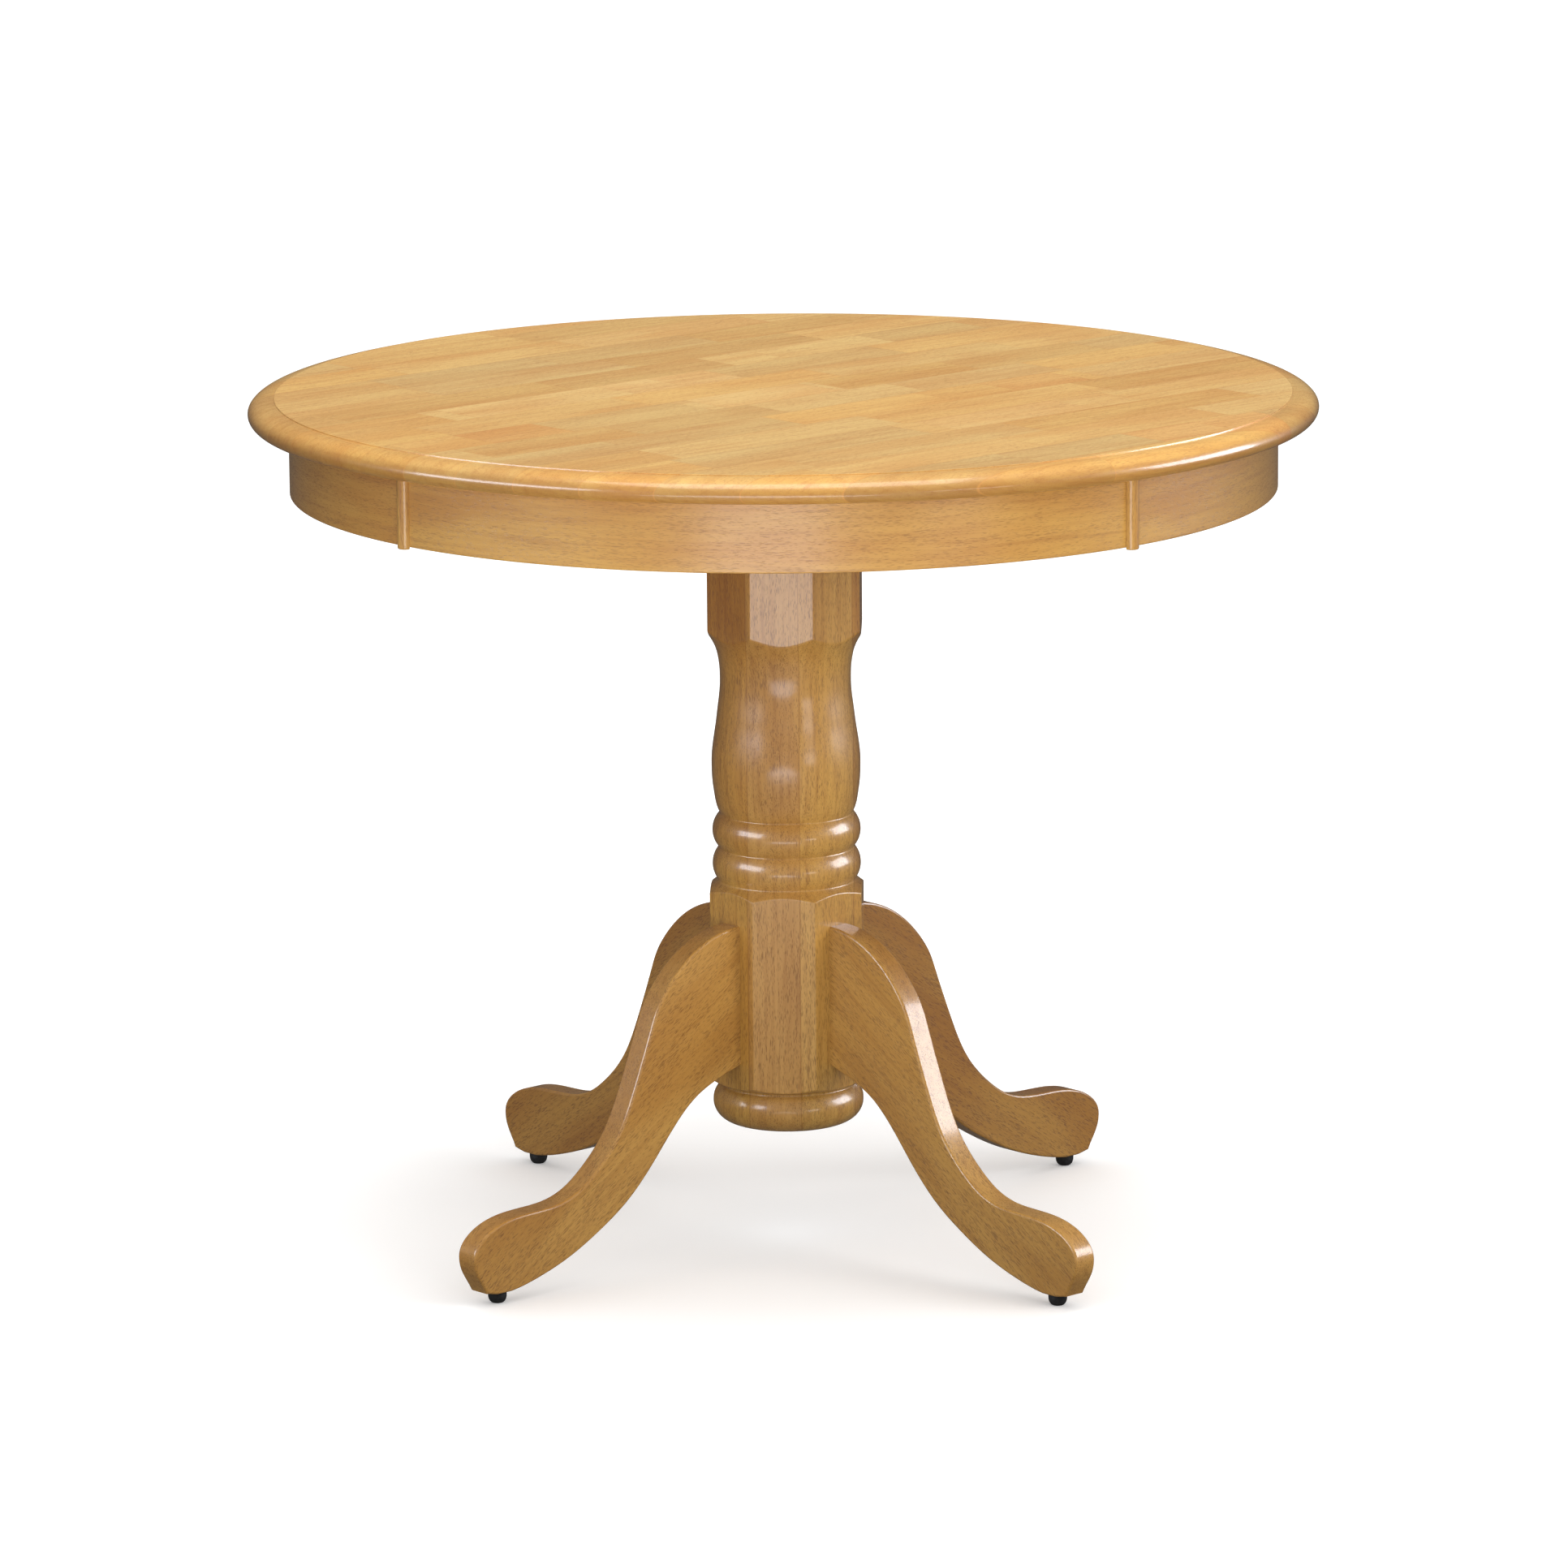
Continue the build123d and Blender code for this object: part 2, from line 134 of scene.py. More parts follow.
def rgb(red, green, blue):
    """Linear colour from an sRGB one in 0..255."""
    def linear(value):
        value /= 255
        return value / 12.92 if value <= 0.04045 else ((value + 0.055) / 1.055) ** 2.4
    return (linear(red), linear(green), linear(blue), 1.0)


# ---------------------------------------------------------------- wood

RINGS_PER_METRE = 190.0


def figure_group():
    """Node group: a wood's figure at grain coordinates (x along the grain), in metres."""
    tree = bpy.data.node_groups.new("wood_figure", "ShaderNodeTree")
    face = tree.interface
    face.new_socket("Vector", in_out="INPUT", socket_type="NodeSocketVector")
    face.new_socket("Seed", in_out="INPUT", socket_type="NodeSocketFloat")
    for name in ("Rings", "Streaks", "Fibres", "Pores", "Flecks", "Clouds"):
        face.new_socket(name, in_out="OUTPUT", socket_type="NodeSocketFloat")
    entry = tree.nodes.new("NodeGroupInput")
    leave = tree.nodes.new("NodeGroupOutput")
    seed = entry.outputs["Seed"]
    shift = put(tree, "ShaderNodeCombineXYZ", {0: calc(tree, "MULTIPLY", seed, 3.17),
                1: calc(tree, "MULTIPLY", seed, 1.31), 2: calc(tree, "MULTIPLY", seed, 0.77)})
    place = put(tree, "ShaderNodeVectorMath", {0: entry.outputs["Vector"], 1: shift.outputs[0]},
                operation="ADD").outputs[0]
    # growth rings round a pith that lies outside the board, wandering along its length
    pith = random_colour(tree, seed)
    _, across, down = put(tree, "ShaderNodeSeparateXYZ", {0: entry.outputs["Vector"]}).outputs
    wander = noise(tree, stretched(tree, place, 5.0, 14.0), 2.0)
    drift = calc(tree, "MULTIPLY_ADD", wander, 0.045, -0.0225)
    side = calc(tree, "ADD", across, calc(tree, "MULTIPLY_ADD", pith[0], 0.16, -0.08))
    side = calc(tree, "ADD", side, drift)
    depth = calc(tree, "ADD", down, calc(tree, "MULTIPLY_ADD", pith[1], 0.09, 0.03))
    reach = span(tree, side, depth)
    fine = noise(tree, stretched(tree, place, 22.0, 240.0), 2.0)
    reach = calc(tree, "ADD", reach, calc(tree, "MULTIPLY", fine, 0.0022))
    cycle = calc(tree, "FRACT", calc(tree, "MULTIPLY", reach, RINGS_PER_METRE))
    rings = calc(tree, "POWER", cycle, 2.2)
    rings = calc(tree, "MULTIPLY", rings, ramp(tree, cycle, 1.0, 0.93))
    # long streaks, hair-fine fibres, and two sizes of open pore
    streaks = noise(tree, stretched(tree, place, 9.0, 210.0), 4.0, 0.6, 0.15)
    fibres = noise(tree, stretched(tree, place, 60.0, 2400.0), 2.0, 0.6)
    pores, flecks = (
        put(tree, "ShaderNodeTexVoronoi", {"Vector": stretched(tree, place, *counts), "Scale": 1.0,
            "Randomness": 1.0}, feature="F1").outputs["Distance"]
        for counts in ((150.0, 1700.0), (90.0, 640.0))
    )
    patch = noise(tree, stretched(tree, place, 16.0, 90.0), 2.0)
    limit = calc(tree, "MULTIPLY_ADD", patch, 0.30, 0.10)
    clouds = noise(tree, stretched(tree, place, 4.0, 16.0), 3.0, 0.55)
    outputs = {
        "Rings": rings, "Streaks": streaks, "Fibres": fibres, "Clouds": clouds,
        "Pores": ramp(tree, calc(tree, "SUBTRACT", pores, limit), 0.06, -0.06),
        "Flecks": ramp(tree, calc(tree, "SUBTRACT", flecks, limit), 0.10, -0.08),
    }
    for name, socket in outputs.items():
        tree.links.new(socket, leave.inputs[name])
    return tree


FIGURE = figure_group()


def wood(name, grain, tone, seed=0.0, joint=None, gloss=0.16, coat=1.0, pores=1.0, contrast=1.0):
    """Lacquered wood, or bare where coat is 0. grain(tree) gives its grain coordinates. tone is its
    sRGB colours: pale, middle, dark and pore. joint(tree) gives the seed, the tint and the glue lines
    of a piece that is glued up from blocks."""
    material = bpy.data.materials.new(name)
    material.use_nodes = True
    tree = material.node_tree
    shader = tree.nodes["Principled BSDF"]
    pale, middle, dark, pore = (rgb(*colour) for colour in tone)
    tint = line = None
    if joint:
        seed, tint, line = joint(tree)
    group = put(tree, "ShaderNodeGroup", node_tree=FIGURE)
    for key, value in (("Vector", grain(tree)), ("Seed", seed)):
        if isinstance(value, bpy.types.NodeSocket):
            tree.links.new(value, group.inputs[key])
        else:
            group.inputs[key].default_value = value
    out = group.outputs
    colour = blend(tree, ramp(tree, out["Clouds"], 0.34, 0.68), pale, middle)
    colour = blend(tree, calc(tree, "MULTIPLY", ramp(tree, out["Streaks"], 0.46, 0.74), 0.62 * contrast),
                   colour, dark)
    colour = blend(tree, calc(tree, "MULTIPLY", out["Rings"], 0.30 * contrast), colour, dark)
    colour = blend(tree, calc(tree, "MULTIPLY", ramp(tree, out["Streaks"], 0.44, 0.26), 0.55 * contrast),
                   colour, pale)
    fibre = calc(tree, "MULTIPLY_ADD", out["Fibres"], 0.24 * contrast, 1.0 - 0.12 * contrast)
    shade = put(tree, "ShaderNodeCombineColor", {0: fibre, 1: fibre, 2: fibre}).outputs[0]
    colour = blend(tree, 1.0, colour, shade, "MULTIPLY")
    if tint is not None:
        colour = blend(tree, 1.0, colour, tint, "MULTIPLY")
    hollow = calc(tree, "MAXIMUM", calc(tree, "MULTIPLY", out["Pores"], 0.75),
                  calc(tree, "MULTIPLY", out["Flecks"], 0.50))
    colour = blend(tree, calc(tree, "MULTIPLY", hollow, 0.62 * pores), colour, pore)
    if line is not None:
        colour = blend(tree, calc(tree, "MULTIPLY", line, 0.45), colour, dark)
        hollow = calc(tree, "MAXIMUM", hollow, calc(tree, "MULTIPLY", line, 0.5))
    tree.links.new(colour, shader.inputs["Base Color"])
    rough = calc(tree, "MULTIPLY_ADD", out["Streaks"], 0.16, 0.34)
    rough = calc(tree, "MULTIPLY_ADD", hollow, 0.22, rough)
    tree.links.new(rough, shader.inputs["Roughness"])
    # the lacquer sinks a little into the pores and follows the fibres
    height = calc(tree, "MULTIPLY", out["Streaks"], 0.35)
    height = calc(tree, "MULTIPLY_ADD", out["Fibres"], 0.22, height)
    height = calc(tree, "MULTIPLY_ADD", hollow, -0.8 * pores, height)
    bump = put(tree, "ShaderNodeBump", {"Strength": 0.32, "Distance": 0.00022, "Height": height})
    tree.links.new(bump.outputs[0], shader.inputs["Normal"])
    if coat:
        place = put(tree, "ShaderNodeTexCoord").outputs["Object"]
        film = put(tree, "ShaderNodeTexNoise", {"Vector": place, "Scale": 95.0, "Detail": 2.0})
        soft = calc(tree, "MULTIPLY_ADD", film.outputs[0], 0.35, calc(tree, "MULTIPLY", hollow, -0.30))
        skin = put(tree, "ShaderNodeBump", {"Strength": 0.22, "Distance": 0.0004, "Height": soft})
        tree.links.new(skin.outputs[0], shader.inputs["Coat Normal"])
    shader.inputs["Coat Weight"].default_value = coat
    shader.inputs["Coat Roughness"].default_value = gloss
    shader.inputs["Coat IOR"].default_value = 1.48
    shader.inputs["Specular IOR Level"].default_value = 0.35
    return material


def along(azimuth, tilt=0.0):
    """Straight grain pointing to an azimuth, and tilted down from it by an angle, in degrees."""
    turn = Matrix.Rotation(radians(-tilt), 3, "Y") @ Matrix.Rotation(radians(-azimuth), 3, "Z")

    def grain(tree):
        place = put(tree, "ShaderNodeTexCoord").outputs["Object"]
        parts = [
            put(tree, "ShaderNodeVectorMath", {0: place, 1: tuple(turn[row])},
                operation="DOT_PRODUCT").outputs["Value"]
            for row in range(3)
        ]
        return put(tree, "ShaderNodeCombineXYZ", {0: parts[0], 1: parts[1], 2: parts[2]}).outputs[0]
    return grain


def around(azimuth):
    """Grain that follows the apron's curve, for a segment with its middle at an azimuth."""
    def grain(tree):
        place = along(azimuth)(tree)
        x, y, z = put(tree, "ShaderNodeSeparateXYZ", {0: place}).outputs
        length = calc(tree, "MULTIPLY", calc(tree, "ARCTAN2", y, x), APRON_RADIUS)
        return put(tree, "ShaderNodeCombineXYZ", {0: length, 1: z, 2: span(tree, x, y)}).outputs[0]
    return grain


def upright(tree):
    """Grain that runs up, as in the column."""
    place = put(tree, "ShaderNodeTexCoord").outputs["Object"]
    x, y, z = put(tree, "ShaderNodeSeparateXYZ", {0: place}).outputs
    return put(tree, "ShaderNodeCombineXYZ", {0: z, 1: x, 2: y}).outputs[0]


# the pale, middle, dark and pore colours of each wood, in sRGB
# partly painted shade: AMBER and BROWN are darker than HONEY partly as the apron's, column's and legs'
# own tone and partly to stand for the shade on these sides under the top
HONEY = ((236, 193, 118), (225, 172, 98), (198, 138, 68), (150, 96, 46))
AMBER = ((194, 148, 72), (178, 126, 56), (146, 93, 40), (102, 62, 28))
BROWN = ((200, 152, 78), (182, 131, 61), (146, 94, 40), (98, 60, 28))
# painted shade: a darker copy of BROWN, for the rear legs
SHADED_BROWN = ((184, 136, 66), (166, 114, 50), (130, 80, 32), (88, 52, 24))
BARE = ((206, 174, 132), (190, 154, 110), (158, 120, 80), (120, 86, 56))


def dress(name, material):
    """Gives a CAD node its material."""
    slots = NODES[name].data.materials
    if not slots:
        slots.append(material)
    for index in range(len(slots)):
        slots[index] = material


def to_joint(tree, run):
    """Distance to the nearest whole number, where the joints between blocks lie."""
    middle = calc(tree, "ABSOLUTE", calc(tree, "SUBTRACT", calc(tree, "FRACT", run), 0.5))
    return calc(tree, "SUBTRACT", 0.5, middle)


def glue_line(tree, gap, reach=0.0007):
    """1 on a glue line and 0 off it, from the distance to the joint."""
    return ramp(tree, gap, reach, 0.0002)


# ---------------------------------------------------------------- tabletop

# blocks that stand out: where each begins and ends along the grain, its stave and its tint
ODD_BLOCKS = (
    (-0.099, 0.030, -1, (1.08, 1.12, 1.22)), (-0.040, 0.119, -5, (1.08, 1.13, 1.24)),
    (-0.282, -0.104, 1, (1.06, 1.10, 1.18)), (-0.104, 0.020, 1, (1.10, 1.15, 1.28)),
    (0.040, 0.198, -8, (1.02, 0.92, 0.86)), (0.139, 0.223, -3, (1.00, 0.90, 0.80)),
    (-0.356, -0.272, -1, (0.96, 0.84, 0.74)), (0.060, 0.250, 2, (1.05, 1.10, 1.16)),
)


def mesh_object(name, points, faces, sharp=35):
    """Smooth mesh with its sharper edges kept crisp, standing for a CAD node."""
    mesh = bpy.data.meshes.new(name)
    mesh.from_pydata(points, [], faces)
    mesh.update()
    work = bmesh.new()
    work.from_mesh(mesh)
    bmesh.ops.recalc_face_normals(work, faces=work.faces)
    work.to_mesh(mesh)
    work.free()
    mesh.shade_smooth()
    mesh.set_sharp_from_angle(angle=radians(sharp))
    thing = bpy.data.objects.new(name, mesh)
    bpy.context.collection.objects.link(thing)
    return thing


def rings_to_faces(rows, around_count, first_centre=None, last_centre=None):
    """Quads between rings of points, and fans to a centre point at either end."""
    faces = []
    for row in range(rows - 1):
        for step in range(around_count):
            a = row * around_count + step
            b = row * around_count + (step + 1) % around_count
            faces.append((a, b, b + around_count, a + around_count))
    last = (rows - 1) * around_count
    for step in range(around_count):
        after = (step + 1) % around_count
        if first_centre is not None:
            faces.append((first_centre, after, step))
        if last_centre is not None:
            faces.append((last_centre, last + step, last + after))
    return faces


def panel():
    """The round top: a flat, a small quirk, a rounded nose and a flat underside."""
    top, under = TOP_HIGH.z, TOP_LOW.z
    edge = TOP_RADIUS - NOSE_WIDTH
    nose = top - NOSE_DROP
    outline = [(r, top) for r in (0.05, 0.12, 0.2, 0.28, 0.36, 0.42, edge - 0.0012, edge - 0.0003)]
    # the quirk, the nose down to the widest point, and the small round under it
    outline += [(edge - 0.00008, top - 0.00009), (edge, top - 0.0003), (edge, top - 0.0009),
                (edge + 0.0001, top - 0.00112)]
    outline += [(edge + NOSE_WIDTH * sin(t), nose + 0.0124 * cos(t))
                for t in (radians(90 * k / 30) for k in range(1, 31))]
    outline += [(TOP_RADIUS - 0.010 + 0.010 * cos(t), nose + (under - nose) * sin(t))
                for t in (radians(90 * k / 16) for k in range(1, 17))]
    outline += [(r, under) for r in (0.445, 0.42, 0.3, 0.15, 0.05)]
    count = 720
    points = [(r * cos(2 * pi * k / count), r * sin(2 * pi * k / count), z)
              for r, z in outline for k in range(count)]
    points += [(0, 0, top), (0, 0, under)]
    faces = rings_to_faces(len(outline), count, len(points) - 2, len(points) - 1)
    return mesh_object("tabletop_panel", points, faces)


def staves(tree):
    """Seed, tint and glue line at each point of the top, which is glued up from short blocks. The tint
    also paints shade on the moulded edge.
    """
    u, v, z = put(tree, "ShaderNodeSeparateXYZ", {0: along(GRAIN_AZIMUTH)(tree)}).outputs
    row = calc(tree, "DIVIDE", calc(tree, "SUBTRACT", v, FIRST_JOINT), STAVE_WIDTH)
    stave = calc(tree, "FLOOR", row)
    one, two, _ = random_colour(tree, calc(tree, "MULTIPLY", stave, 1.37))
    length = calc(tree, "MULTIPLY_ADD", one, 0.12, 0.15)
    run = calc(tree, "DIVIDE", calc(tree, "MULTIPLY_ADD", two, 0.9, u), length)
    block = calc(tree, "FLOOR", run)
    seed = calc(tree, "ADD", calc(tree, "MULTIPLY", stave, 7.31), calc(tree, "MULTIPLY", block, 2.77))
    # glue lines: hair-thin between staves, and at the ends of the blocks
    side = glue_line(tree, calc(tree, "MULTIPLY", to_joint(tree, row), STAVE_WIDTH))
    end = glue_line(tree, calc(tree, "MULTIPLY", to_joint(tree, run), length))
    line = calc(tree, "MAXIMUM", side, end)
    bright, warm, _ = random_colour(tree, calc(tree, "ADD", seed, 0.5))
    red = calc(tree, "MULTIPLY_ADD", bright, 0.16, 0.90)
    green = calc(tree, "MULTIPLY", red, calc(tree, "MULTIPLY_ADD", warm, 0.10, 0.94))
    blue = calc(tree, "MULTIPLY", green, calc(tree, "MULTIPLY_ADD", warm, 0.22, 0.86))
    tint = put(tree, "ShaderNodeCombineColor", {0: red, 1: green, 2: blue}).outputs[0]
    for begin, finish, number, colour in ODD_BLOCKS:
        here = calc(tree, "COMPARE", stave, number, 0.1)
        here = calc(tree, "MULTIPLY", here, calc(tree, "GREATER_THAN", u, begin))
        here = calc(tree, "MULTIPLY", here, calc(tree, "LESS_THAN", u, finish))
        tint = blend(tree, here, tint, (*colour, 1.0))
        seed = calc(tree, "MULTIPLY_ADD", here, 11.3 + begin * 40, seed)
        for limit in (begin, finish):
            near = glue_line(tree, calc(tree, "ABSOLUTE", calc(tree, "SUBTRACT", u, limit)))
            near = calc(tree, "MULTIPLY", near, calc(tree, "COMPARE", stave, number, 0.1))
            line = calc(tree, "MAXIMUM", line, near)
    # painted shade: the moulded edge is darker, and darker still towards its lower side, which turns
    # down away from the light
    inner = TOP_RADIUS - NOSE_WIDTH
    edge = ramp(tree, span(tree, u, v), inner - 0.0008, inner + 0.0004)
    edge_painted_shade = blend(tree, ramp(tree, z, TOP_HIGH.z - 0.003, TOP_HIGH.z - 0.013), (0.82, 0.78, 0.69, 1.0),
                  (0.52, 0.44, 0.30, 1.0))
    tint = blend(tree, edge, tint, blend(tree, 1.0, tint, edge_painted_shade, "MULTIPLY"))
    return seed, tint, line


# ---------------------------------------------------------------- column

def flow(points, start, end, steps=12):
    """Smooth curve through points, with directions to leave the first and reach the last."""
    points = [Vector(point) for point in points]
    slopes = []
    for index, point in enumerate(points):
        if index == 0:
            slopes.append(Vector(start).normalized())
        elif index == len(points) - 1:
            slopes.append(Vector(end).normalized())
        else:
            before, after = point - points[index - 1], points[index + 1] - point
            slopes.append((before / before.length ** 2 + after / after.length ** 2).normalized())
    curve = []
    for index in range(len(points) - 1):
        a, b = points[index], points[index + 1]
        reach = (b - a).length
        for step in range(steps):
            t = step / steps
            curve.append(a * (2 * t ** 3 - 3 * t ** 2 + 1)
                         + slopes[index] * reach * (t ** 3 - 2 * t ** 2 + t)
                         + b * (3 * t ** 2 - 2 * t ** 3)
                         + slopes[index + 1] * reach * (t ** 3 - t ** 2))
    return curve + [points[-1]]


def bow(a, middle, b, steps=22):
    """Arc from a through a middle point to b."""
    a, middle, b = Vector(a), Vector(middle), Vector(b)
    p, q = middle - a, b - a
    cross = 2 * (p.x * q.y - p.y * q.x)
    centre = a + Vector((q.y * p.length_squared - p.y * q.length_squared,
                         p.x * q.length_squared - q.x * p.length_squared)) / cross
    first, last = (atan2(*(point - centre).yx) for point in (a, b))
    if last > first:
        last -= 2 * pi
    radius = (a - centre).length
    angles = (first + (last - first) * step / steps for step in range(steps + 1))
    return [centre + radius * Vector((cos(angle), sin(angle))) for angle in angles]


def soft_least(a, b, reach):
    """The lesser of two lengths, eased over a short reach where they are nearly equal."""
    ease = max(reach - abs(a - b), 0.0) / reach
    return min(a, b) - ease * ease * reach / 4


def rounded(profile, top):
    """The profile with its grooves and crests eased, stepped finely where it is turned."""
    fine = []
    for (r, z), (after_r, after_z) in zip(profile, profile[1:]):
        length = sqrt((after_r - r) ** 2 + (after_z - z) ** 2)
        parts = 1 if length > 20 else max(1, ceil(length / 0.9))
        fine += [(r + (after_r - r) * k / parts, z + (after_z - z) * k / parts) for k in range(parts)]
    fine.append(profile[-1])
    for _ in range(2):
        eased = [fine[0]]
        for before, here, after in zip(fine, fine[1:], fine[2:]):
            if here[1] > top - 3 or abs(before[1] - here[1]) > 10 or abs(after[1] - here[1]) > 10:
                eased.append(here)
            else:
                eased.append(tuple((a + 2 * b + c) / 4 for a, b, c in zip(before, here, after)))
        fine = eased + [fine[-1]]
    return fine


def column():
    """The column: turned work cut into an octagonal blank, with its edges eased, and its pocket.
    The outline's points are a radius and a height above the floor, in millimetres, from the top down."""
    wide = BLANK_RADIUS
    top, bottom = COLUMN_HIGH.z * 1000, COLUMN_LOW.z * 1000
    neck = flow([(wide, 542.5), (66.5, 531.8), (60.3, 520.4), (57.2, 506.5), (56.5, 490.5)],
                (-1, -1), (0, -1), 16)
    rise = flow([(56.5, 490.5), (59.5, 460.5), (64.3, 419.5)], (0, -1), (0, -1), 26)
    fall = flow([(64.3, 419.5), (62.9, 396.5), (57.4, 375)], (0, -1), (-1, -1.6), 20)
    upper = bow((57.4, 375), (64.1, 360.5), (58.3, 344.9))
    lower = bow((58.3, 344.9), (64.1, 331.5), (60.0, 317))
    shoulder = [(60.6, 315.8)] + [(60.6 + 5.9 * k / 6, 315.8 - 4.7 * k / 6) for k in range(1, 7)]
    shoulder += [(66.5 + 9.5 * k / 10, 311.1 - 6.6 * k / 10) for k in range(1, 11)]
    shoulder += [(wide, 303.3), (wide, 302.0), (wide, 148.5), (wide, 147.2)]
    shoulder += [(wide - 10 * k / 10, 146 - 6.3 * k / 10) for k in range(11)]
    shoulder += [(61.5, 138.3), (58.0, 136.9), (58.0, 134.9)]
    foot = bow((58.0, 134.9), (65.3, 119.0), (48.0, bottom), 34)
    profile = [(wide - 1.2, top), (wide - 0.6, top - 0.15), (wide, top - 0.6), (wide, top - 2.0),
               (wide, 545.0), (wide, 543.4)]
    for piece in (neck, rise[1:], fall[1:], upper[1:], lower[1:], shoulder, foot[1:]):
        profile += [tuple(point) for point in piece]
    profile = rounded(profile, top)
    # angles from the middle of each facet, closer towards its corners
    half = [0, 2.2, 4.4, 6.6, 8.8, 11, 13, 15, 17, 18.7, 20, 21, 21.7, 22.2]
    turns = sorted({-t for t in half} | set(half) | {22.5})
    facet = ACROSS_FLATS / 2
    angles, octagon, pocket = [], [], []
    for side in range(8):
        for turn in turns:
            angles.append(radians(45 * side + turn))
            here, beside = facet / cos(radians(turn)), facet / cos(radians(45 - abs(turn)))
            octagon.append(soft_least(here, beside, 0.5))
            pocket.append(POCKET_HALF_WIDTH / cos(radians(turn)))
    count = len(angles)
    rows = []
    for radius, z in profile:
        if z > top - 0.5:
            rows.append([(o - (wide - radius), z) for o in octagon])
        else:
            rows.append([(soft_least(radius, o, 0.9), z) for o in octagon])
    rows.append([(p + 0.6, bottom) for p in pocket])
    rows.append([(p, bottom + 0.6) for p in pocket])
    rows.append([(p, POCKET_TOP) for p in pocket])
    points = [(r * cos(angle) / 1000, r * sin(angle) / 1000, z / 1000)
              for row in rows for angle, (r, z) in zip(angles, row)]
    points += [(0, 0, top / 1000), (0, 0, POCKET_TOP / 1000)]
    faces = rings_to_faces(len(rows), count, len(points) - 2, len(points) - 1)
    return mesh_object("column_turning", points, faces, 32)


def glued_strips(tree):
    """Seed, tint and glue line at each point of the column, glued up from upright strips. The tint also
    paints shade on the left strip.
    """
    place = put(tree, "ShaderNodeTexCoord").outputs["Object"]
    x, _, z = put(tree, "ShaderNodeSeparateXYZ", {0: place}).outputs
    width, first = 0.045, 0.014
    run = calc(tree, "DIVIDE", calc(tree, "SUBTRACT", x, first), width)
    strip = calc(tree, "FLOOR", run)
    seed = calc(tree, "MULTIPLY_ADD", strip, 5.3, 31.0)
    line = glue_line(tree, calc(tree, "MULTIPLY", to_joint(tree, run), width), 0.0008)
    tint = (1.0, 1.0, 1.0, 1.0)
    for number, colour in ((-1, (0.98, 0.98, 1.04)), (0, (1.02, 1.04, 1.00)), (1, (0.96, 0.93, 0.82))):
        tint = blend(tree, calc(tree, "COMPARE", strip, number, 0.1), tint, (*colour, 1.0))
    # painted shade: the left strip is painted lighter low down and darker towards the top of the column,
    # where the tabletop shades that side
    left = blend(tree, ramp(tree, z, 0.29, 0.38), (1.06, 1.09, 0.96, 1.0), (0.92, 0.86, 0.72, 1.0))
    left = blend(tree, ramp(tree, z, 0.50, 0.55), left, (0.70, 0.58, 0.42, 1.0))
    tint = blend(tree, calc(tree, "COMPARE", strip, -2, 0.1), tint, left)
    return seed, tint, line


# ---------------------------------------------------------------- metal and plastic

def worn_surface(name, pale, dark, metallic, rough, scale, scratch):
    """Metal or plastic with a mottled colour, uneven gloss and fine scratches."""
    material = bpy.data.materials.new(name)
    material.use_nodes = True
    tree = material.node_tree
    shader = tree.nodes["Principled BSDF"]
    place = put(tree, "ShaderNodeTexCoord").outputs["Object"]
    mottle = noise(tree, scaled(tree, place, scale, scale, scale), 4.0, 0.6)
    fine = noise(tree, scaled(tree, place, scale * 9, scale * 9, scale * 2), 3.0, 0.6)
    colour = blend(tree, ramp(tree, mottle, 0.3, 0.7), (*dark, 1.0), (*pale, 1.0))
    worn = calc(tree, "MULTIPLY", ramp(tree, fine, 0.58, 0.75), 0.35)
    colour = blend(tree, worn, colour, (*dark, 1.0))
    tree.links.new(colour, shader.inputs["Base Color"])
    gloss = calc(tree, "MULTIPLY_ADD", mottle, 0.22, rough - 0.2)
    gloss = calc(tree, "MULTIPLY_ADD", fine, 0.18, gloss)
    tree.links.new(gloss, shader.inputs["Roughness"])
    bump = put(tree, "ShaderNodeBump", {"Strength": scratch, "Distance": 0.0002, "Height": fine})
    tree.links.new(bump.outputs[0], shader.inputs["Normal"])
    shader.inputs["Metallic"].default_value = metallic
    return material


# ---------------------------------------------------------------- pieces and their materials

top_panel = panel()
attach(top_panel, "root")
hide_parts("tabletop")
top_panel.data.materials.append(wood("top_wood", along(GRAIN_AZIMUTH), HONEY, joint=staves, gloss=0.13,
                                     contrast=0.72))

turning = column()
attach(turning, "root")
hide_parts("pedestal_column")
turning.data.materials.append(wood("column_wood", upright, BROWN, joint=glued_strips, gloss=0.17,
                                   pores=1.4, contrast=0.75))

for side, azimuth in SIDES.items():
    dress("apron_" + side, wood("apron_wood_" + side, around(azimuth), AMBER, seed=azimuth / 37 + 2,
                                gloss=0.22, contrast=0.6))
bead_wood = wood("bead_wood", upright, AMBER, seed=9.0, gloss=0.09)
block_wood = wood("block_wood", along(135), BARE, seed=4.0, coat=0.0)
for corner, azimuth in CORNERS.items():
    dress("apron_bead_" + corner, bead_wood)
    dress("apron_block_" + corner, block_wood)
    # painted shade: the rear legs take a darker copy of the front legs' brown
    tone = SHADED_BROWN if "rear" in corner else BROWN
    dress("leg_" + corner, wood("leg_wood_" + corner, along(azimuth, 33), tone, seed=azimuth / 29,
                                gloss=0.17, pores=1.5, contrast=0.6))
dress("cross_rail_lower", wood("rail_wood_lower", along(45), BARE, seed=6.0, coat=0.0))
dress("cross_rail_upper", wood("rail_wood_upper", along(135), BARE, seed=7.0, coat=0.0))
dress("leg_dowels", wood("dowel_wood", upright, BARE, seed=8.0, coat=0.0))

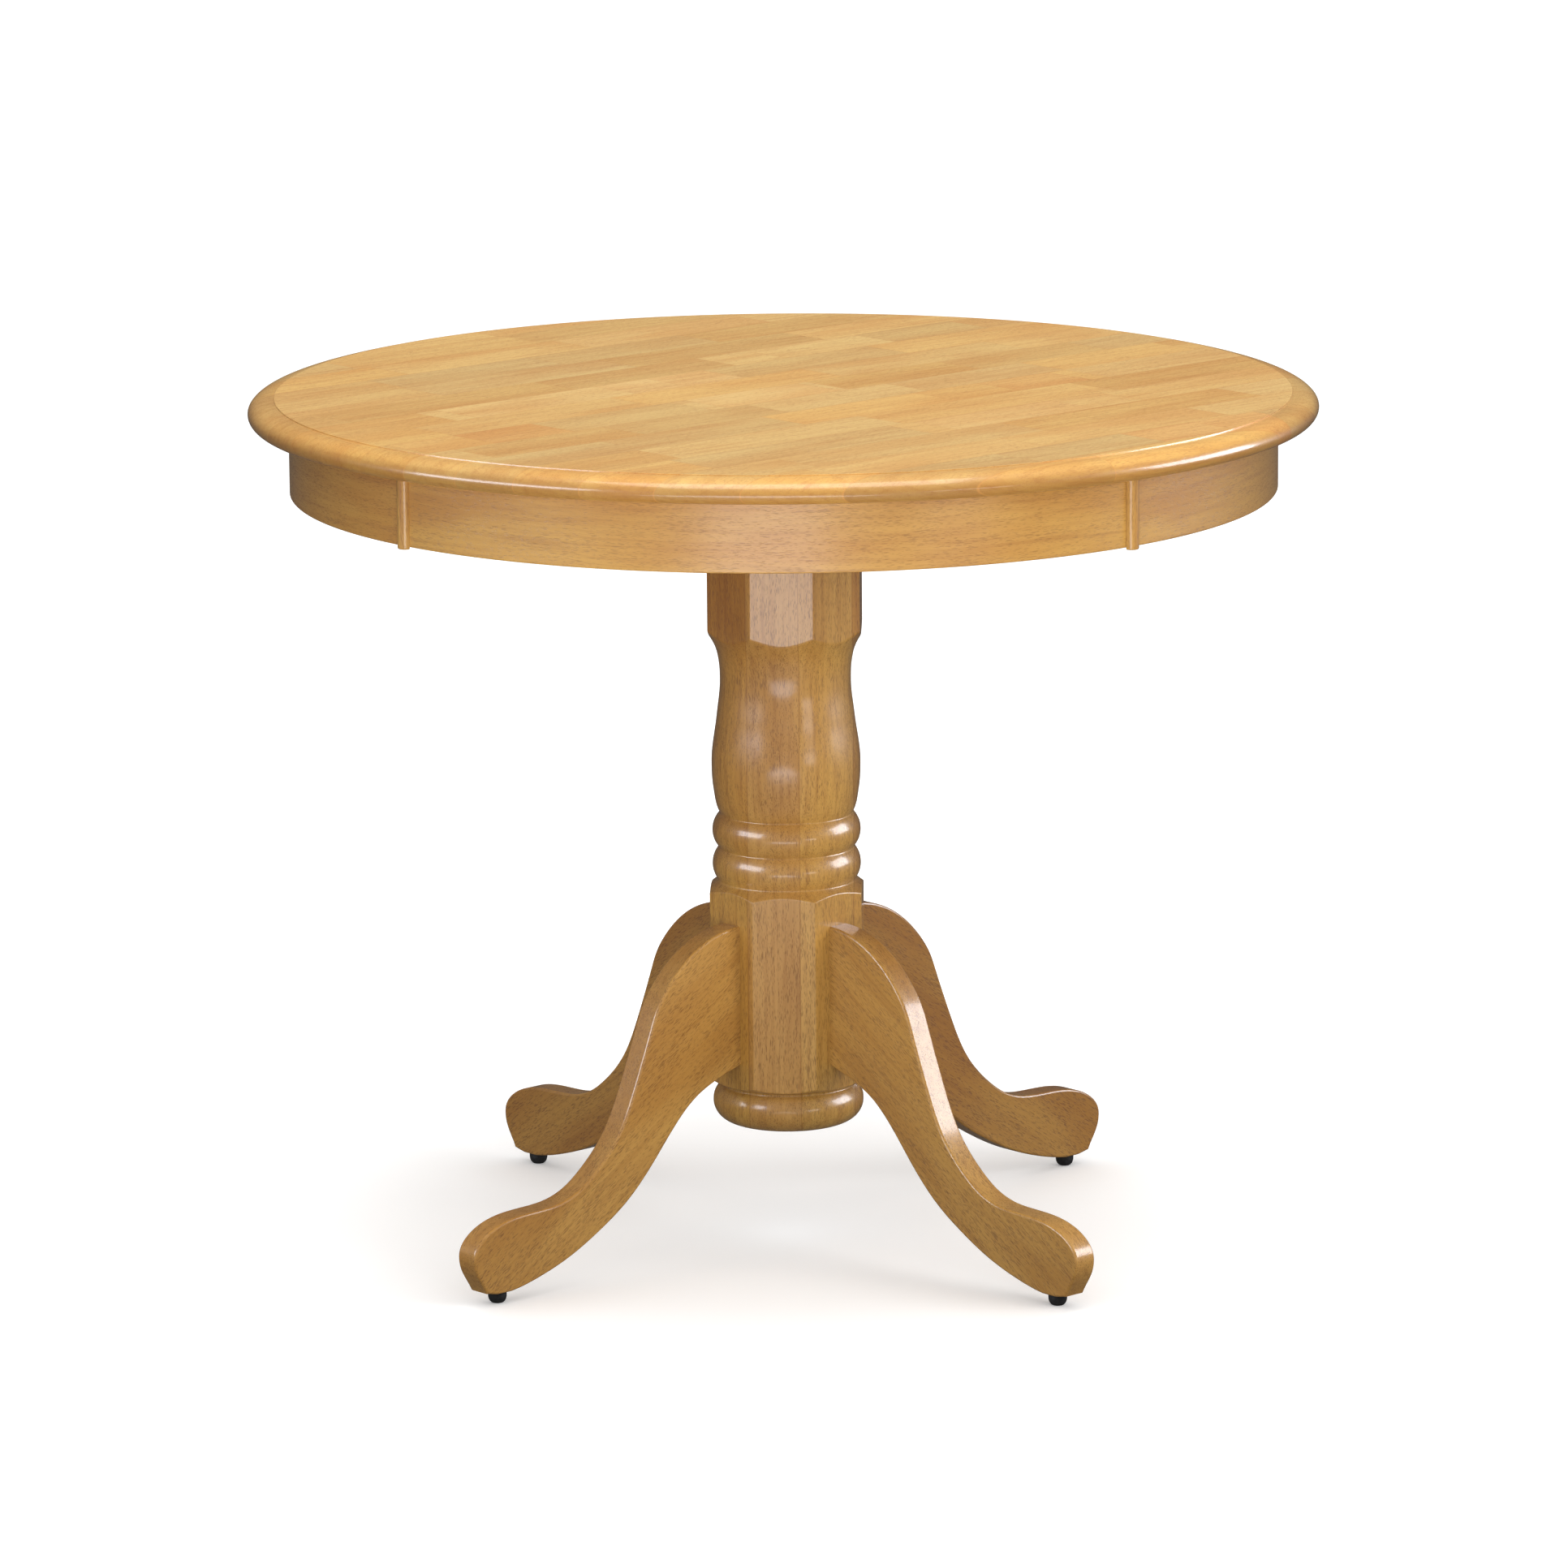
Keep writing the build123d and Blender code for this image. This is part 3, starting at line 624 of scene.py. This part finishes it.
zinc = worn_surface("zinc_plate", (0.66, 0.67, 0.70), (0.42, 0.43, 0.45), 1.0, 0.42, 320.0, 0.25)
yellow_zinc = worn_surface("yellow_zinc_plate", (0.72, 0.60, 0.34), (0.45, 0.38, 0.22), 1.0, 0.42, 320.0,
                           0.25)
black_plastic = worn_surface("black_plastic", (0.022, 0.021, 0.021), (0.010, 0.010, 0.010), 0.0, 0.55,
                             420.0, 0.35)
for name in ("glide_nails", "leg_hanger_bolts", "leg_bolt_washers", "leg_bolt_nuts", "column_lag_screws",
             "column_lag_washers"):
    dress(name, zinc)
for name in ("rail_to_top_screws", "apron_block_side_screws", "apron_block_top_screws"):
    dress(name, yellow_zinc)
for corner in CORNERS:
    dress("glide_" + corner, black_plastic)


# ---------------------------------------------------------------- stage

CAMERA_AZIMUTH = 2.75 - 90  # the side of the table that the camera is on
NEUTRAL, SOFT, COOL, BLUISH = (1, 1, 1), (1.0, 0.98, 0.96), (0.88, 0.92, 1.0), (0.84, 0.89, 1.0)


def floor():
    """Plain pale floor."""
    mesh = bpy.data.meshes.new("floor")
    half = 40.0
    mesh.from_pydata([(-half, -half, 0), (half, -half, 0), (half, half, 0), (-half, half, 0)], [],
                     [(0, 1, 2, 3)])
    thing = bpy.data.objects.new("floor", mesh)
    bpy.context.collection.objects.link(thing)
    material = bpy.data.materials.new("floor_paint")
    material.use_nodes = True
    shader = material.node_tree.nodes["Principled BSDF"]
    shader.inputs["Base Color"].default_value = (0.93, 0.93, 0.93, 1)
    shader.inputs["Roughness"].default_value = 0.9
    shader.inputs["Specular IOR Level"].default_value = 0.0
    shader.inputs["Emission Color"].default_value = (1, 1, 1, 1)
    shader.inputs["Emission Strength"].default_value = 0.16
    mesh.materials.append(material)
    thing.visible_glossy = False
    thing.visible_diffuse = False


def lamp(name, azimuth, elevation, distance, width, height, power, colour, aim=(0, 0, 0.5), role="both"):
    """Softbox aimed at a point, from an azimuth measured from the camera's side, to its right."""
    turn = radians(azimuth + CAMERA_AZIMUTH)
    place = Vector((cos(turn) * cos(radians(elevation)), sin(turn) * cos(radians(elevation)),
                    sin(radians(elevation)))) * distance + Vector(aim)
    softbox(name, place, Vector(aim) - place, width, height, power, colour, role)


def softbox(name, place, facing, width, height, power, colour, role="both"):
    """Area light at a place, facing a direction. A fill lights the object and isn't mirrored in it, and
    a glint is only mirrored."""
    light = bpy.data.lights.new(name, "AREA")
    light.shape = "RECTANGLE"
    light.size = width
    light.size_y = height
    light.energy = power
    light.color = colour
    thing = bpy.data.objects.new(name, light)
    bpy.context.collection.objects.link(thing)
    thing.matrix_world = Matrix.Translation(place) @ facing.to_track_quat("-Z", "Y").to_matrix().to_4x4()
    thing.visible_camera = False
    thing.visible_glossy = role != "fill"
    thing.visible_diffuse = role != "glint"


def camera():
    """Camera of the photograph: a long lens, a little above the top."""
    lens = bpy.data.cameras.new("camera")
    lens.sensor_width = 36.0
    lens.lens = 191.84
    lens.clip_end = 200.0
    heading, pitch, roll = radians(-2.661), radians(11.801), radians(-0.442)
    ahead = Vector((sin(heading) * cos(pitch), cos(heading) * cos(pitch), -sin(pitch)))
    right = ahead.cross(Vector((0, 0, 1))).normalized()
    up = right.cross(ahead)
    side = cos(roll) * right + sin(roll) * up
    rise = -sin(roll) * right + cos(roll) * up
    thing = bpy.data.objects.new("camera", lens)
    bpy.context.collection.objects.link(thing)
    turn = Matrix((side, rise, -ahead)).transposed().to_4x4()
    thing.matrix_world = Matrix.Translation((0.3257, -7.0481, 1.8727)) @ turn
    bpy.context.scene.camera = thing


def surroundings():
    """Pale studio: bright above, dimmer to the sides and below, and dim where the lacquer mirrors it."""
    world = bpy.data.worlds.new("studio")
    bpy.context.scene.world = world
    world.use_nodes = True
    tree = world.node_tree
    tree.nodes.clear()
    rays = put(tree, "ShaderNodeLightPath")
    place = put(tree, "ShaderNodeTexCoord").outputs["Generated"]
    height = put(tree, "ShaderNodeSeparateXYZ", {0: place}).outputs[2]
    above = calc(tree, "MULTIPLY_ADD", calc(tree, "MAXIMUM", height, 0.0), 1.34, 0.20)
    strength = calc(tree, "ADD", above, ramp(tree, height, 0.0, -0.05, 0.0, 0.07))
    bright = put(tree, "ShaderNodeBackground", {"Color": (1, 1, 1, 1), "Strength": strength})
    dim = put(tree, "ShaderNodeBackground", {"Color": (0.9, 0.85, 0.8, 1), "Strength": 0.10})
    mixed = put(tree, "ShaderNodeMixShader", {0: rays.outputs["Is Glossy Ray"], 1: bright.outputs[0],
                2: dim.outputs[0]})
    put(tree, "ShaderNodeOutputWorld", {"Surface": mixed.outputs[0]})


camera()
floor()
surroundings()
lamp("overhead", 10, 84, 2.6, 2.0, 1.6, 32, NEUTRAL, aim=(0, 0, 0.7))
lamp("overhead_fill", 10, 84, 2.6, 2.0, 1.6, 32, NEUTRAL, aim=(0, 0, 0.7), role="fill")
lamp("front_fill", 6, 5, 3.2, 1.8, 1.0, 15, SOFT, role="fill")
lamp("left_fill", -50, 6, 3.2, 1.4, 0.8, 9, SOFT, aim=(0, 0, 0.3), role="fill")
lamp("right_fill", 66, 16, 3.2, 1.6, 1.0, 30, SOFT, role="fill")
softbox("floor_glow", Vector((-0.10, -3.35, 0.03)), Vector((0, 0, 1)), 1.7, 3.2, 78, COOL)
softbox("floor_fill", Vector((0.25, -1.3, 0.03)), Vector((0, 0, 1)), 2.0, 1.2, 15, SOFT, "fill")
lamp("left_glint", -60, 15, 3.4, 2.5, 1.1, 86, BLUISH, role="glint")
lamp("near_right_glint", 37, 0, 3.3, 1.0, 0.35, 5, COOL, role="glint")
lamp("right_glint", 96, 15, 3.2, 1.9, 1.4, 96, BLUISH, role="glint")

scene = bpy.context.scene
scene.view_settings.view_transform = "Standard"
scene.view_settings.look = "None"
